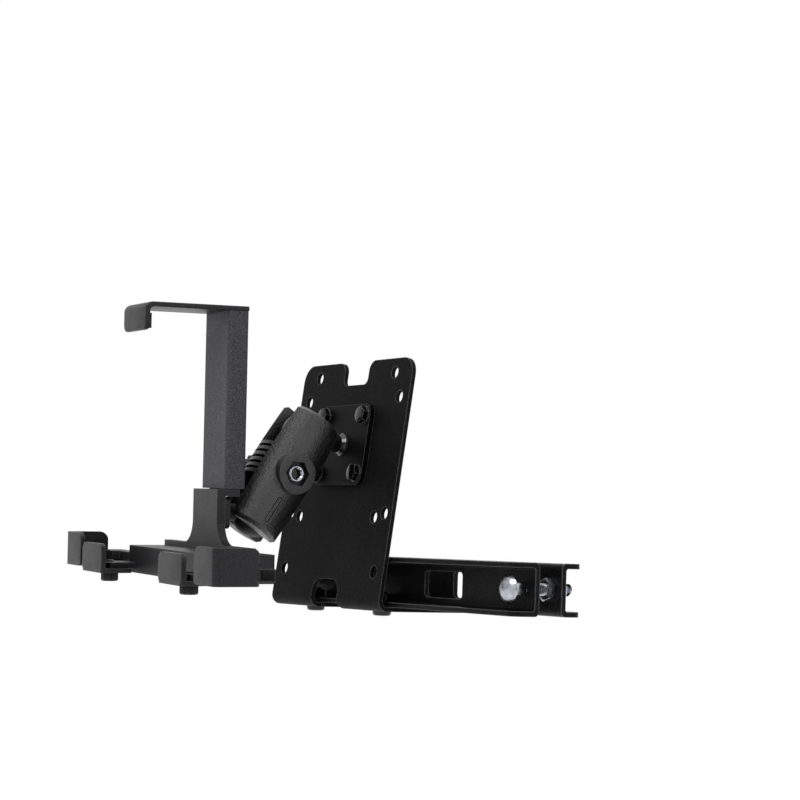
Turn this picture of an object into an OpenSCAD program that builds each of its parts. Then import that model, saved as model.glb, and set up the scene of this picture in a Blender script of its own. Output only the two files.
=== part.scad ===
// Headrest tablet mount. Two channel bars clamp a pair of headrest posts, a bent plate stands
// on them, and a double socket arm with two balls carries an adjustable tablet holder.
// Origin: midway between the posts, at mid height of the bars. X runs along the bars,
// +Y points to the headrest, +Z is up. All sizes are in millimetres.

/* [Clamp bars] */
// Diameter of the headrest posts that the bars grip
post_d = 12.7; // [9:0.1:16]
// Distance between the two posts
post_spacing = 136; // [110:1:160]
// Length of each channel bar
bar_l = 214; // [190:1:240]
// Height of each channel bar
bar_h = 25; // [22:0.5:34]
// Sheet thickness of the channel bars
bar_t = 2.5; // [1.5:0.1:4]
// Depth of the front bar over its flanges
front_flange = 14.5; // [12:0.5:22]
// Depth of the rear bar over its flanges
rear_flange = 12.5; // [8:0.5:20]
// Height of the rectangular slots in the webs
slot_h = 13; // [6:0.5:16]
// Length of the rectangular slots in the webs
slot_l = 33; // [10:1:40]
// Distance between the slots
slot_pitch = 71; // [45:1:80]
// Offset of the slots from the bar's middle
slot_shift = -5; // [-12:0.5:12]
// Further offset of the rear bar's slots
rear_slot_shift = 3; // [0:0.5:6]
// Distance from the bar's end to the clamp bolt
bolt_inset = 10; // [8:0.5:20]
// Thread diameter of the clamp bolts
bolt_d = 6; // [4:0.5:8]
// Width of the domed head of the clamp bolts
bolt_head_d = 14; // [12:0.5:20]

/* [Mounting plate] */
// Width of the plate
plate_w = 108; // [96:1:130]
// Height of the plate, measured up its slope
plate_h = 130; // [120:1:160]
// Sheet thickness of the plate
plate_t = 2.3; // [1.5:0.1:3.5]
// Angle at which the plate leans back
plate_lean = 7.6; // [0:0.1:12]
// Centre of the plate along the bars
plate_x = -53; // [-70:1:-30]
// Outside radius of the bend at the plate's foot
bend_r = 5; // [4.5:0.5:8]
// Depth of the shelf under the bars
shelf_depth = 56; // [42:1:60]
// Radius of the plate's outer corners
plate_corner = 9; // [3:0.5:10]
// Side of the smaller square of mounting holes
small_square = 75; // [70:0.5:80]
// Side of the larger square of mounting holes
large_square = 90; // [84:0.5:94]
// Height of the small square's centre up the slope
small_square_v = 85.1; // [78:0.1:90]
// Height of the large square's centre up the slope
large_square_v = 64.7; // [60:0.1:70]
// Diameter of the mounting holes
mount_hole = 6.4; // [4:0.1:8]
// Width of the notch in the top edge
notch_w = 24; // [15:1:32]
// Depth of the notch in the top edge
notch_depth = 12.5; // [6:0.5:14]
// Width of the cable opening at the bend
cable_w = 26; // [15:1:32]
// Height of the cable opening above the plate's foot
cable_h = 15; // [8:0.5:17]
// Width of the slot in the shelf for the headrest post
post_slot_w = 20; // [17:0.5:26]

/* [Balls and arm] */
// Ball diameter
ball_d = 25; // [22:0.1:26]
// Diameter of the stem under each ball
stem_d = 9; // [6:0.5:10]
// Distance of the upper ball's centre from the plate's front face
ball_out = 26.5; // [24:0.5:34]
// Distance of the lower ball's centre from its seat on the holder
holder_out = 23; // [20:0.5:30]
// Distance between the two ball centres
arm_centres = 48; // [44:0.5:64]
// Distance that the arm reaches past each ball centre
arm_reach = 10; // [9:0.5:12]
// Angle of the arm from the vertical
arm_lean = 33; // [0:1:50]
// Radius of the barrel that the two halves form
barrel_r = 17; // [15.5:0.5:20]
// Half of the gap between the two halves
gap_half = 7; // [6:0.5:8]
// Diameter of the boss round the clamp screw
boss_d = 21; // [18:0.5:26]
// Thickness by which that boss stands proud
boss_t = 2; // [1:0.1:4]
// Diameter of the arm's clamp screw
screw_d = 6; // [4:0.5:6.5]
// Diameter of the tightening knob over its ribs
knob_d = 21; // [18:0.5:26]
// Thickness of the tightening knob
knob_t = 10; // [8:0.5:16]
// Number of ribs on the tightening knob
knob_ribs = 14; // [10:1:20]
// Spacing of the ball plates' screws along the plate's width
ball_plate_px = 38.1; // [36:0.1:40]
// Spacing of the ball plates' screws up the plate
ball_plate_pz = 30.2; // [28:0.1:32]
// Thickness of the ball plates
ball_plate_t = 3; // [2:0.1:4]

/* [Tablet holder] */
// Turn of the holder about the vertical
holder_yaw = -7; // [-8:1:8]
// Lean of the holder's top towards the viewer
holder_pitch = 1.5; // [-5:0.5:5]
// Side tilt of the holder
holder_roll = 1.5; // [-5:0.5:5]
// Height of the sleeve's foot above the lower ball
sleeve_z = 12; // [10:1:20]
// Length of the sleeve
sleeve_l = 89; // [75:1:110]
// Width of the sleeve
sleeve_w = 34; // [28:1:44]
// Depth of the sleeve
sleeve_t = 11; // [9:0.5:16]
// Width of the inner mast
mast_w = 24; // [16:1:26]
// Depth of the inner mast
mast_t = 4.5; // [4:0.5:5]
// Running clearance of the sliding pieces on each side
slide_gap = 0.3; // [0.2:0.05:0.5]
// Distance of the outside of the front lips from the lower ball
front_out = 67; // [60:1:80]
// Thickness of the lips
lip_t = 2.5; // [2:0.1:4]
// Height of the top hook's lip
hook_h = 14; // [10:0.5:20]
// Reach of the right corner arm from the middle
right_reach = 119; // [105:1:130]
// Reach of the left corner arm from the middle
left_reach = 105.5; // [100:1:130]
// Height of the corner arms' walls
wall_h = 17.5; // [14:0.5:24]
// Depth of the corner arms' walls
wall_depth = 23; // [18:1:30]
// Width of the corner lips
corner_lip = 26; // [18:1:30]
// Half of the distance between the feet
foot_x = 60; // [52:1:64]
// Width of each foot
foot_w = 32; // [26:1:36]
// Height of each foot's lip
foot_lip_h = 15; // [10:0.5:20]
// Height of the base housing
base_h = 14; // [13:0.5:18]
// Half of the length of the base housing
base_half_w = 61; // [58:1:70]
// Distance of the housing's back from the lower ball
base_back = 13; // [13:0.5:16]
// Depth of the base housing
base_depth = 34; // [28:0.5:36]
// Distance of the base's underside below the lower ball
base_low = 33; // [32:0.5:38]

/* [Hidden] */
$fn = 64;
black = "#1c1c1e";
coated = "#2a2a2b";
plastic = "#4d4d4f";
grained = "#4c4a50";
rubber = "#101011";
zinc = "#b9bcc2";
oxide = "#161618";

// Places on the bars and the plate
post_r = post_d / 2;
plate_bottom = -bar_h / 2 - plate_t;
bar_front = -post_r - front_flange;
lean_run = tan(plate_lean);
plate_y = bar_front - 1.4 - plate_t / cos(plate_lean) - (bar_h + plate_t) * lean_run;
small_half = small_square / 2;
large_half = large_square / 2;
hole_clear = 0.3;

// Ball centres
upper_y = plate_y + small_square_v * sin(plate_lean) - ball_out * cos(plate_lean);
upper_z = plate_bottom + small_square_v * cos(plate_lean) + ball_out * sin(plate_lean);
lower_y = upper_y - arm_centres * sin(arm_lean);
lower_z = upper_z - arm_centres * cos(arm_lean);
arm_half_l = arm_centres / 2 + arm_reach;
cup_gap = 0.05;

// Planes of the holder, in its own frame with the lower ball's centre as origin
seat_y = -holder_out;
front_y = -front_out;
sleeve_back = seat_y + 10.7;
sleeve_front = sleeve_back - sleeve_t;
mast_back = sleeve_back - 4;
base_front = -base_back - base_depth;
base_top = -base_low + base_h;
hub_w = sleeve_w;
hub_top = sleeve_z - 0.4;
shoulder_z = 8.2;
web_t = 4.5;
rail_h = 6;
rail_t = 8;
rail_y = base_front + 3;
rail_low = -base_low + 4;
foot_plate_t = 2.2;
tongue_t = 3;
tongue_w = 22;
tongue_low = -base_low + foot_plate_t + 0.05;
foot_screw_y = front_y + 10;
tongue_front = front_y + lip_t + 3.5;
pad_t = 1.6;

// Puts its children on the leaning plate: X across, Y up the slope, Z out of the front face
module on_plate(u = 0, v = 0, out = 0) {
    translate([plate_x, plate_y, plate_bottom])
        rotate([90 - plate_lean, 0, 0])
            translate([u, v, out])
                children();
}

// Puts its children in the arm's frame: Z along the arm, X along the clamp screw
module on_arm() {
    translate([plate_x, (upper_y + lower_y) / 2, (upper_z + lower_z) / 2])
        rotate([-arm_lean, 0, 0])
            children();
}

// Puts its children in the holder's frame
module on_holder() {
    translate([plate_x, lower_y, lower_z])
        rotate([holder_pitch, holder_roll, holder_yaw])
            children();
}

module rounded_rect(w, h, r) {
    hull()
        for (x = [-1, 1], y = [-1, 1])
            translate([x * (w / 2 - r), y * (h / 2 - r)])
                circle(r);
}

// A rounded rectangle made without hull, so that its extrusion stays exact
module soft_rect(w, h, r) {
    square([w - 2 * r, h], center = true);
    square([w, h - 2 * r], center = true);
    for (x = [-1, 1], y = [-1, 1])
        translate([x * (w / 2 - r), y * (h / 2 - r)])
            circle(r);
}

module soft_block(size, r) {
    linear_extrude(size[2])
        translate([size[0] / 2, size[1] / 2])
            soft_rect(size[0], size[1], r);
}

module hexagon(across, h) {
    cylinder(d = across / cos(30), h = h, $fn = 6);
}

// Section of a channel bar, with its web at the origin and flanges towards -Y
module channel_section(depth) {
    inner_r = 1.2;
    difference() {
        translate([-depth / 2, 0])
            soft_rect(depth, bar_h, bar_t);
        translate([-bar_t - (depth - bar_t + 4) / 2, 0])
            soft_rect(depth - bar_t + 4, bar_h - 2 * bar_t, inner_r);
        translate([-depth - 0.01, -bar_h])
            square([0.02, 2 * bar_h]);
    }
    for (side = [-1, 1])
        translate([-depth + bar_t / 2, side * (bar_h - bar_t) / 2])
            square([bar_t, bar_t], center = true);
}

// A channel bar with its web's face at y = 0 and its flanges towards -Y
module channel_bar(depth, bolt_hole, shift) {
    difference() {
        translate([-bar_l / 2, 0, 0])
            rotate([90, 0, 90])
                linear_extrude(bar_l)
                    channel_section(depth);
        for (side = [-1, 1])
            translate([shift + side * slot_pitch / 2, 1, 0])
                rotate([90, 0, 0])
                    linear_extrude(bar_t + 2)
                        soft_rect(slot_l, slot_h, 2);
        for (side = [-1, 1])
            translate([side * (bar_l / 2 - bolt_inset), 1, 0])
                rotate([90, 0, 0])
                    cylinder(d = bolt_hole, h = bar_t + 2);
        // rounded free corners of the flanges at both ends
        for (side = [-1, 1])
            translate([side * bar_l / 2, -depth, 0])
                flange_corner(side);
    }
}

module flange_corner(side) {
    r = 5;
    translate([-side * r, r, 0])
        difference() {
            translate([side > 0 ? 0 : -r - 1, -r - 1, -bar_h])
                cube([r + 1, r + 1, 2 * bar_h]);
            translate([0, 0, -bar_h - 1])
                cylinder(r = r, h = 2 * bar_h + 2);
        }
}

module front_clamp_bar() {
    color(black)
        difference() {
            translate([0, -post_r, 0])
                channel_bar(front_flange, bolt_d + 0.4, slot_shift);
            for (x = shelf_screw_x)
                translate([x, shelf_screw_y, -bar_h])
                    cylinder(d = shelf_screw_d + 0.4, h = bar_h);
        }
}

module rear_clamp_bar() {
    color(black)
        translate([0, post_r, 0])
            mirror([0, 1, 0])
                channel_bar(rear_flange, bolt_d + 0.4, slot_shift + rear_slot_shift);
}

// Domed bolt with a square neck; the head stands clear of the front web on its neck
nut_across = 10;
nut_h = 4.5;
thin_nut_h = 3;
neck_l = 8.1;
neck_w = bolt_d;
head_h = 3.4;
bolt_end = post_r + bar_t + nut_h + 5;

module clamp_bolt(side) {
    r_dome = (bolt_head_d * bolt_head_d / 4 + head_h * head_h) / (2 * head_h);
    front = -post_r - bar_t;
    color(zinc)
        translate([side * (bar_l / 2 - bolt_inset), 0, 0])
            rotate([-90, 0, 0]) {
                translate([0, 0, front - neck_l])
                    intersection() {
                        translate([0, 0, r_dome - head_h])
                            sphere(r_dome, $fn = 96);
                        translate([0, 0, -head_h])
                            cylinder(d = bolt_head_d, h = head_h);
                    }
                translate([-neck_w / 2, -neck_w / 2, front - neck_l])
                    cube([neck_w, neck_w, neck_l]);
                translate([0, 0, front])
                    cylinder(d = bolt_d, h = bolt_end - front);
            }
}

module near_clamp_bolt() {
    clamp_bolt(1);
}

module far_clamp_bolt() {
    clamp_bolt(-1);
}

module bolt_nut(side, y, h) {
    translate([side * (bar_l / 2 - bolt_inset), y, 0])
        rotate([-90, 0, 0])
            difference() {
                hexagon(nut_across, h);
                translate([0, 0, -1])
                    cylinder(d = bolt_d + 0.1, h = h + 2);
            }
}

// Thin nuts inside the gap, tight against the rear bar
module inner_nuts() {
    color(zinc)
        for (side = [-1, 1])
            bolt_nut(side, post_r - thin_nut_h, thin_nut_h);
}

// Nuts behind the rear bar, turned to clamp the posts
module near_clamp_nut() {
    color(zinc)
        bolt_nut(1, post_r + bar_t, nut_h);
}

module far_clamp_nut() {
    color(zinc)
        bolt_nut(-1, post_r + bar_t, nut_h);
}

// Everything that is cut out of the upright, drawn on its slope from the foot at y = 0
module plate_cuts() {
    translate([0, plate_h])
        notch_outline();
    for (side = [-1, 1])
        translate([side * plate_w / 2, plate_h])
            outer_corner(side, plate_corner);
    for (u = [-1, 1], v = [-1, 1]) {
        translate([u * small_half, small_square_v + v * small_half])
            circle(d = mount_hole);
        translate([u * large_half, large_square_v + v * large_half])
            circle(d = mount_hole);
        translate([u * ball_plate_px / 2, small_square_v + v * ball_plate_pz / 2])
            circle(d = plate_bolt_d + hole_clear);
    }
    for (u = [-1, 1])
        translate([u * spare_half, spare_v])
            circle(d = mount_hole);
    translate([0, cable_h / 2 - 5])
        soft_rect(cable_w, cable_h + 10, 7);
}

// What is cut from a corner to round it; the corner is at the origin, on the side given
module outer_corner(side, r) {
    difference() {
        translate([side > 0 ? -r : -1, -r])
            square([r + 1, r + 1]);
        translate([-side * r, -r])
            circle(r);
    }
}

// Notch in the top edge, with rounded mouth and rounded floor
module notch_outline() {
    mouth_r = 5.5;
    difference() {
        union() {
            translate([0, -notch_depth / 2 + 1])
                soft_rect(notch_w, notch_depth + 2, 3.5);
            translate([-notch_w / 2 - mouth_r, -mouth_r])
                square([notch_w + 2 * mouth_r, mouth_r + 1]);
        }
        for (side = [-1, 1])
            translate([side * (notch_w / 2 + mouth_r), -mouth_r])
                circle(mouth_r);
    }
}

plate_bolt_d = 5;
spare_half = large_half + 2;
spare_v = small_square_v - small_half + 2;
shelf_screw_d = 5;
shelf_screw_x = [plate_x - 30, plate_x + 36];
shelf_screw_y = -post_r - front_flange / 2 - 0.5;

// The plate is one bent sheet: its side view is drawn once, with the openings cut through
module mounting_plate() {
    color(coated)
        difference() {
            translate([plate_x - plate_w / 2, 0, 0])
                rotate([90, 0, 90])
                    linear_extrude(plate_w)
                        sheet_profile();
            on_plate(0, 0, -plate_t - 5)
                linear_extrude(plate_t + 8)
                    plate_cuts();
            // the cable opening runs on, a little narrower, into the shelf
            translate([plate_x - cable_w / 2 + 2, plate_y - 5, plate_bottom - 1])
                soft_block([cable_w - 4, bend_r + cable_reach + 5, plate_t + 2], 4);
            for (side = [-1, 1])
                translate([plate_x + side * plate_w / 2, plate_y + shelf_depth, plate_bottom - 1])
                    linear_extrude(plate_t + 2)
                        outer_corner(side, 8);
            for (x = shelf_screw_x)
                translate([x, shelf_screw_y, plate_bottom - 1])
                    cylinder(d = shelf_screw_d + 0.4, h = plate_t + 2);
            // open slot for the post that stands behind the plate
            translate([-post_spacing / 2 - post_slot_w / 2, -post_r - 3, plate_bottom - 1])
                soft_block([post_slot_w, shelf_depth, plate_t + 2], 6);
        }
}

cable_reach = 13;

// Side view of the sheet: x runs towards the headrest, y runs up
module sheet_profile() {
    turn = 90 + plate_lean;
    run = bend_r * tan(turn / 2);
    steps = 16;
    function arc(r) = [
        for (i = [0 : steps])
            let (a = -90 - turn * i / steps)
                [run + r * cos(a), bend_r + r * sin(a)]
    ];
    function up_slope(back) = [
        back * cos(plate_lean) + plate_h * sin(plate_lean),
        plate_h * cos(plate_lean) - back * sin(plate_lean)
    ];
    inner = arc(bend_r - plate_t);
    translate([plate_y, plate_bottom])
        polygon(concat(
            [[shelf_depth, plate_t], [shelf_depth, 0]],
            arc(bend_r),
            [up_slope(0), up_slope(plate_t)],
            [for (i = [steps : -1 : 0]) inner[i]]
        ));
}

// Pan-head screws up through the shelf and the bar's lower flange, and their nuts
module shelf_screws() {
    shank_l = plate_t + bar_t + 5;
    color(oxide)
        for (x = shelf_screw_x)
            translate([x, shelf_screw_y, plate_bottom]) {
                translate([0, 0, -2.6])
                    difference() {
                        cylinder(d = 9.5, h = 2.6);
                        translate([0, 0, -1])
                            hexagon(3, 2.6);
                    }
                cylinder(d = shelf_screw_d, h = shank_l);
            }
}

module shelf_nuts() {
    color(oxide)
        for (x = shelf_screw_x)
            translate([x, shelf_screw_y, -bar_h / 2 + bar_t])
                difference() {
                    hexagon(8, 4);
                    translate([0, 0, -1])
                        cylinder(d = shelf_screw_d + 0.1, h = 6);
                }
}

// Flat plate that carries a ball, with four holes
module ball_plate(w, h, r, hole) {
    difference() {
        linear_extrude(ball_plate_t)
            difference() {
                soft_rect(w, h, r);
                for (u = [-1, 1], v = [-1, 1])
                    translate([u * ball_plate_px / 2, v * ball_plate_pz / 2])
                        circle(d = hole);
            }
        translate([0, 0, -1])
            cylinder(d = stem_d + stem_gap, h = ball_plate_t + 2);
    }
}

stem_gap = 0.1;

module upper_ball_plate() {
    color(black)
        on_plate(0, small_square_v, 0)
            ball_plate(ball_plate_px + 10, ball_plate_pz + 12, 5, plate_bolt_d + hole_clear);
}

module upper_plate_bolts() {
    head = 3.6;
    shank = ball_plate_t + plate_t + 5.5;
    color(oxide)
        for (u = [-1, 1], v = [-1, 1])
            on_plate(u * ball_plate_px / 2, small_square_v + v * ball_plate_pz / 2, ball_plate_t) {
                hexagon(8, head);
                translate([0, 0, -shank])
                    cylinder(d = plate_bolt_d, h = shank);
            }
}

module upper_plate_nuts() {
    nut = 4;
    color(oxide)
        for (u = [-1, 1], v = [-1, 1])
            on_plate(u * ball_plate_px / 2, small_square_v + v * ball_plate_pz / 2, -plate_t - nut)
                difference() {
                    hexagon(8, nut);
                    translate([0, 0, -1])
                        cylinder(d = plate_bolt_d + 0.1, h = nut + 2);
                }
}

// Ball on its stem, with the stem's foot at z = 0 and the ball's centre at z = reach
module ball_stud(reach, plate, flare) {
    rotate_extrude($fn = 96)
        intersection() {
            union() {
                translate([0, reach])
                    circle(d = ball_d);
                square([stem_d / 2, reach]);
                // cone at the foot of the stem
                polygon([
                    [0, plate],
                    [stem_d / 2 + flare, plate],
                    [stem_d / 2 + flare, plate + 1],
                    [stem_d / 2, plate + flare],
                    [0, plate + 4]
                ]);
            }
            square([ball_d, reach + ball_d]);
        }
}

module upper_ball() {
    color(black)
        on_plate(0, small_square_v, 0)
            ball_stud(ball_out, ball_plate_t, 4);
}

// Barrel of the arm as a body of revolution about the arm's long axis
module barrel() {
    steps = 12;
    end_r = barrel_r - 1;
    edge = 1.8;
    arc = [
        for (i = [0 : steps])
            let (s = -1 + 2 * i / steps)
                [end_r + (barrel_r - end_r) * (1 - s * s), s * (arm_half_l - edge)]
    ];
    rotate_extrude($fn = 96)
        polygon(concat(
            [[0, -arm_half_l], [end_r - edge, -arm_half_l]],
            arc,
            [[end_r - edge, arm_half_l], [0, arm_half_l]]
        ));
}

// One half of the arm, on the +X side of the gap
module arm_half() {
    groove_l = 14;
    difference() {
        union() {
            intersection() {
                barrel();
                translate([gap_half, -barrel_r - 1, -arm_half_l - 1])
                    cube([barrel_r + 1, 2 * barrel_r + 2, 2 * arm_half_l + 2]);
            }
            rotate([0, 90, 0])
                translate([0, 0, gap_half])
                    cylinder(d = boss_d, h = barrel_r + boss_t - gap_half);
        }
        for (end = [-1, 1])
            translate([0, 0, end * arm_centres / 2])
                sphere(d = ball_d + 2 * cup_gap, $fn = 96);
        // pocket for the spring, and the screw's hole
        rotate([0, 90, 0]) {
            translate([0, 0, gap_half - 1])
                cylinder(d = spring_d + 1, h = 3);
            cylinder(d = screw_d + 0.4, h = barrel_r + boss_t + 1);
        }
        // long shallow marks on the crown
        for (end = [-1, 1])
            translate([barrel_r - 1.1, 0, end * (boss_d / 2 + 2 + groove_l / 2)])
                rotate([0, 90, 0])
                    linear_extrude(3)
                        soft_rect(groove_l, 2, 0.9);
    }
}

spring_d = 12;
spring_wire = 1.4;
screw_head_d = 8.6;
recess = 4.5;

// Fins that bridge the gap; those of one half lie between those of the other
fin_pitch = 3.45;
fin_t = 1.9;

module fins(first) {
    for (i = [first : 2 : 5], side = [-1, 1])
        intersection() {
            barrel();
            translate([
                -gap_half + 0.5,
                side * 13.5 - 3.5,
                (i - 2.5) * fin_pitch - fin_t / 2
            ])
                cube([2 * gap_half, 7, fin_t]);
        }
}

module arm_near_half() {
    color(black)
        on_arm()
            difference() {
                union() {
                    arm_half();
                    fins(0);
                }
                translate([barrel_r + boss_t - recess, 0, 0])
                    rotate([0, 90, 0])
                        hexagon(12, recess + 1);
            }
}

module arm_far_half() {
    color(black)
        on_arm()
            mirror([1, 0, 0]) {
                arm_half();
                fins(1);
            }
}

// Coil between the two halves, round the clamp screw
module arm_spring() {
    turns = 4.5;
    per_turn = 16;
    sides = 8;
    rows = turns * per_turn;
    wire_r = spring_wire / 2;
    coil_r = spring_d / 2 - wire_r;
    seat = gap_half + 2;
    rise = 2 * (seat - wire_r);
    points = [
        for (i = [0 : rows], k = [0 : sides - 1])
            let (
                turn = 360 * i / per_turn,
                side = 360 * k / sides,
                r = coil_r + wire_r * cos(side)
            )
                [
                    -rise / 2 + rise * i / rows + wire_r * sin(side),
                    r * cos(turn),
                    r * sin(turn)
                ]
    ];
    skin = [
        for (i = [0 : rows - 1], k = [0 : sides - 1])
            let (next = (k + 1) % sides)
                [i * sides + k, (i + 1) * sides + k, (i + 1) * sides + next, i * sides + next]
    ];
    start = [[for (k = [0 : sides - 1]) k]];
    finish = [[for (k = [sides - 1 : -1 : 0]) rows * sides + k]];
    color(zinc)
        on_arm()
            polyhedron(points, concat(start, skin, finish));
}

// Socket screw: its head lies in the recess and its thread ends in the knob
module arm_screw() {
    head_l = 3.6;
    head_x = barrel_r + boss_t - recess;
    end_x = -barrel_r - boss_t - 0.3 - knob_t + 3;
    color(zinc)
        on_arm()
            rotate([0, 90, 0])
                difference() {
                    union() {
                        translate([0, 0, end_x])
                            cylinder(d = screw_d, h = head_x - end_x);
                        translate([0, 0, head_x])
                            cylinder(d = screw_head_d, h = head_l);
                    }
                    translate([0, 0, head_x + head_l - 2.6])
                        hexagon(5, 3);
                }
}

// Ribbed round knob with a raised hub on its outer face
module tightening_knob() {
    body_r = knob_d / 2 - 1.4;
    color(black)
        on_arm()
            translate([-barrel_r - boss_t - 0.3, 0, 0])
                rotate([0, -90, 0])
                    difference() {
                        union() {
                            cylinder(r = body_r, h = knob_t);
                            for (i = [0 : knob_ribs - 1])
                                rotate(360 * i / knob_ribs)
                                    translate([body_r, 0, 0])
                                        cylinder(r = 1.4, h = knob_t - 1.5, $fn = 24);
                        }
                        translate([0, 0, -1])
                            cylinder(d = screw_d + 0.1, h = knob_t - 2);
                        translate([0, 0, knob_t - 1.2])
                            cylinder(r = body_r - 2, h = 2);
                    }
}

module lower_ball() {
    color(black)
        on_holder()
            translate([0, seat_y, 0])
                rotate([-90, 0, 0])
                    ball_stud(holder_out, ball_plate_t, 2.2);
}

lower_plate_w = 32;
lower_plate_h = 16;
lower_px = 24;
lower_pz = 9;
lower_screw_d = 3;
lower_head_d = 5.6;
lower_head_h = 1.6;

// Flat plate under the lower ball, fastened with flush screws
module lower_ball_plate() {
    color(black)
        on_holder()
            translate([0, seat_y, 0])
                rotate([-90, 0, 0])
                    difference() {
                        linear_extrude(ball_plate_t)
                            soft_rect(lower_plate_w, lower_plate_h, 3);
                        translate([0, 0, -1])
                            cylinder(d = stem_d + stem_gap, h = ball_plate_t + 2);
                        for (u = [-1, 1], v = [-1, 1])
                            translate([u * lower_px / 2, v * lower_pz / 2, 0]) {
                                translate([0, 0, -1])
                                    cylinder(d = lower_screw_d + hole_clear, h = ball_plate_t + 2);
                                translate([0, 0, ball_plate_t - lower_head_h - 0.2])
                                    cylinder(d = lower_head_d + 0.4, h = 3);
                            }
                    }
}

module lower_plate_screws() {
    color(oxide)
        on_holder()
            for (u = [-1, 1], v = [-1, 1])
                translate([u * lower_px / 2, seat_y + ball_plate_t - 0.2, v * lower_pz / 2])
                    rotate([90, 0, 0])
                        difference() {
                            union() {
                                cylinder(d = lower_head_d, h = lower_head_h);
                                cylinder(d = lower_screw_d, h = ball_plate_t + 4);
                            }
                            translate([0, 0, -1])
                                hexagon(2, 1.9);
                        }
}

// Back of the housing: a web that narrows in a curve from the foot to the hub
module web_outline() {
    flare_r = 12;
    difference() {
        union() {
            translate([-base_half_w + 2, -base_low + 1])
                square([2 * base_half_w - 4, base_h + 2]);
            translate([-hub_w / 2, -base_low + 1])
                square([hub_w, base_low - 1 + hub_top]);
            translate([-hub_w / 2 - flare_r, base_top + 1])
                square([hub_w + 2 * flare_r, flare_r]);
        }
        for (side = [-1, 1])
            translate([side * (hub_w / 2 + flare_r), base_top + 3 + flare_r])
                circle(flare_r);
        for (side = [-1, 1])
            translate([side * (hub_w / 2 + flare_r) - (side > 0 ? 0 : 12), base_top + 3])
                square([12, flare_r]);
    }
}

// Housing along the holder's foot, with the hub that carries the mast and the ball plate
module base_housing() {
    color(plastic)
        on_holder()
            difference() {
                union() {
                    translate([-base_half_w, base_front, -base_low])
                        soft_block([2 * base_half_w, base_depth, base_h], 3);
                    translate([0, seat_y, 0])
                        rotate([90, 0, 0])
                            linear_extrude(web_t)
                                web_outline();
                    // shoulder that holds the mast's foot
                    translate([-hub_w / 2, seat_y - web_t, shoulder_z])
                        cube([hub_w, mast_back + 0.8 - seat_y + web_t, hub_top - shoulder_z]);
                    for (side = [-1, 1])
                        translate([side * foot_x - tongue_w / 2, tongue_front, tongue_low])
                            soft_block([tongue_w, base_front - tongue_front + 2.4, tongue_t], 2);
                }
                translate([-mast_w / 2, mast_back - mast_t, shoulder_z - 1])
                    cube([mast_w, mast_t, 10]);
                // channel for the two rails
                translate([
                    -base_half_w - 1,
                    rail_y - slide_gap,
                    rail_low - slide_gap
                ])
                    cube([2 * base_half_w + 2, rail_t + 2 * slide_gap, rail_h + 2 * slide_gap]);
                // threaded holes of the foot screws
                for (side = [-1, 1])
                    translate([side * foot_x, foot_screw_y, tongue_low - 1])
                        cylinder(d = foot_screw_d + 0.1, h = tongue_t + 2);
                for (u = [-1, 1], v = [-1, 1])
                    translate([u * lower_px / 2, seat_y + 1, v * lower_pz / 2])
                        rotate([90, 0, 0])
                            cylinder(d = lower_screw_d, h = 5.2);
            }
}

module inner_mast() {
    top = sleeve_z + sleeve_l - 12;
    color(plastic)
        on_holder()
            translate([-mast_w / 2, mast_back - mast_t, shoulder_z])
                cube([mast_w, mast_t, top - shoulder_z]);
}

// Sleeve: a closed column with a channel for the mast and softened vertical edges
module sliding_sleeve() {
    color(grained)
        on_holder()
            difference() {
                translate([-sleeve_w / 2, sleeve_front, sleeve_z])
                    soft_block([sleeve_w, sleeve_t, sleeve_l], 2);
                translate([
                    -mast_w / 2 - slide_gap,
                    mast_back - mast_t - slide_gap,
                    sleeve_z - 1
                ])
                    cube([mast_w + 2 * slide_gap, mast_t + 2 * slide_gap, sleeve_l - 2]);
            }
}

// Strap along the top with the lip that holds the tablet's upper edge
module top_hook() {
    top = sleeve_z + sleeve_l + lip_t;
    reach = sleeve_back - front_y;
    color(plastic)
        on_holder()
            difference() {
                rotate([90, 0, 90])
                    translate([0, 0, -sleeve_w / 2])
                        linear_extrude(sleeve_w)
                            hook_profile(top, 4, reach);
                // rounded free corners of the lip
                for (side = [-1, 1])
                    translate([side * sleeve_w / 2, front_y + lip_t + 1, top - hook_h])
                        rotate([90, 0, 0])
                            linear_extrude(lip_t + 2)
                                mirror([0, 1])
                                    outer_corner(side, 4);
            }
}

// Side view of the strap and its lip, with a rounded bend between them
module hook_profile(top, corner, reach) {
    difference() {
        union() {
            translate([front_y, top - lip_t])
                square([reach, lip_t]);
            translate([front_y, top - hook_h])
                square([lip_t, hook_h]);
            translate([front_y + lip_t, top - lip_t - corner / 2])
                square([corner / 2, corner / 2]);
        }
        translate([front_y + lip_t + corner / 2, top - lip_t - corner / 2])
            circle(corner / 2);
        translate([front_y, top - corner])
            difference() {
                translate([-1, 0])
                    square([corner + 1, corner + 1]);
                translate([corner, 0])
                    circle(corner);
            }
    }
}

module hook_pad() {
    top = sleeve_z + sleeve_l;
    color(rubber)
        on_holder()
            translate([-sleeve_w / 2 + 3, front_y + lip_t, top - hook_h + lip_t + 1])
                cube([sleeve_w - 6, pad_t, hook_h - lip_t - 4]);
}

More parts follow.
